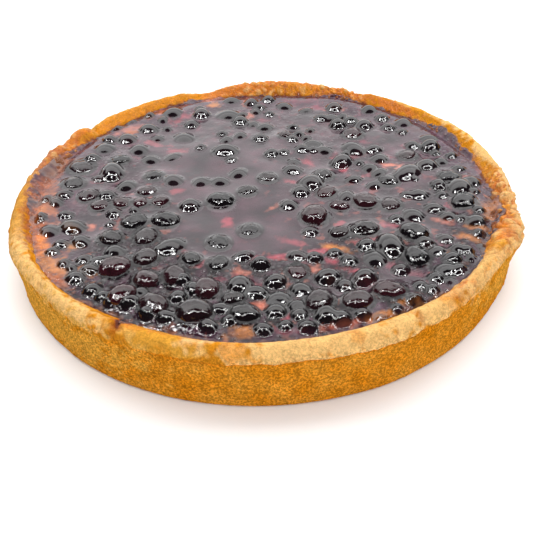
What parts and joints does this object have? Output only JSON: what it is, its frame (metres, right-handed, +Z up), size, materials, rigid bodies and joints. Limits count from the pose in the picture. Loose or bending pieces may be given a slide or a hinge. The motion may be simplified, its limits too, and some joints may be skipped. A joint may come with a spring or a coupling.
{
  "type": "fruit tart",
  "caption": "Round baked tart with a folded pastry rim, a glossy set berry filling and whole blueberries standing out of it.",
  "frame": {"origin": "middle of the flat underside, on the surface that the tart stands on", "axes": "+Z up through the filling, +X to the right and +Y to the back as the picture shows the tart"},
  "size_m": [0.26, 0.2598, 0.0349],
  "materials": {
    "crust": "dry baked shortcrust pastry, golden and sandy",
    "filling": "wet purple berry glaze over set custard",
    "berry": "near black cooked blueberry skin under clear glaze"
  },
  "bodies": {
    "root": {"crust": "crust", "filling": "filling", "berry_01": "berry", "berry_02": "berry", "berry_03": "berry", "berry_04": "berry", "berry_05": "berry", "berry_06": "berry", "berry_07": "berry", "berry_08": "berry", "berry_09": "berry", "berry_10": "berry", "berry_11": "berry", "berry_12": "berry", "berry_13": "berry", "berry_14": "berry", "berry_15": "berry", "berry_16": "berry", "berry_17": "berry", "berry_18": "berry", "berry_19": "berry", "berry_20": "berry", "berry_21": "berry", "berry_22": "berry", "berry_23": "berry", "berry_24": "berry", "berry_25": "berry", "berry_26": "berry", "berry_27": "berry", "berry_28": "berry", "berry_29": "berry", "berry_30": "berry", "berry_31": "berry", "berry_32": "berry", "berry_33": "berry", "berry_34": "berry", "berry_35": "berry", "berry_36": "berry", "berry_37": "berry", "berry_38": "berry", "berry_39": "berry", "berry_40": "berry", "berry_41": "berry", "berry_42": "berry", "berry_43": "berry", "berry_44": "berry", "berry_45": "berry", "berry_46": "berry", "berry_47": "berry", "berry_48": "berry", "berry_49": "berry", "berry_50": "berry", "berry_51": "berry"}
  },
  "joints": []
}
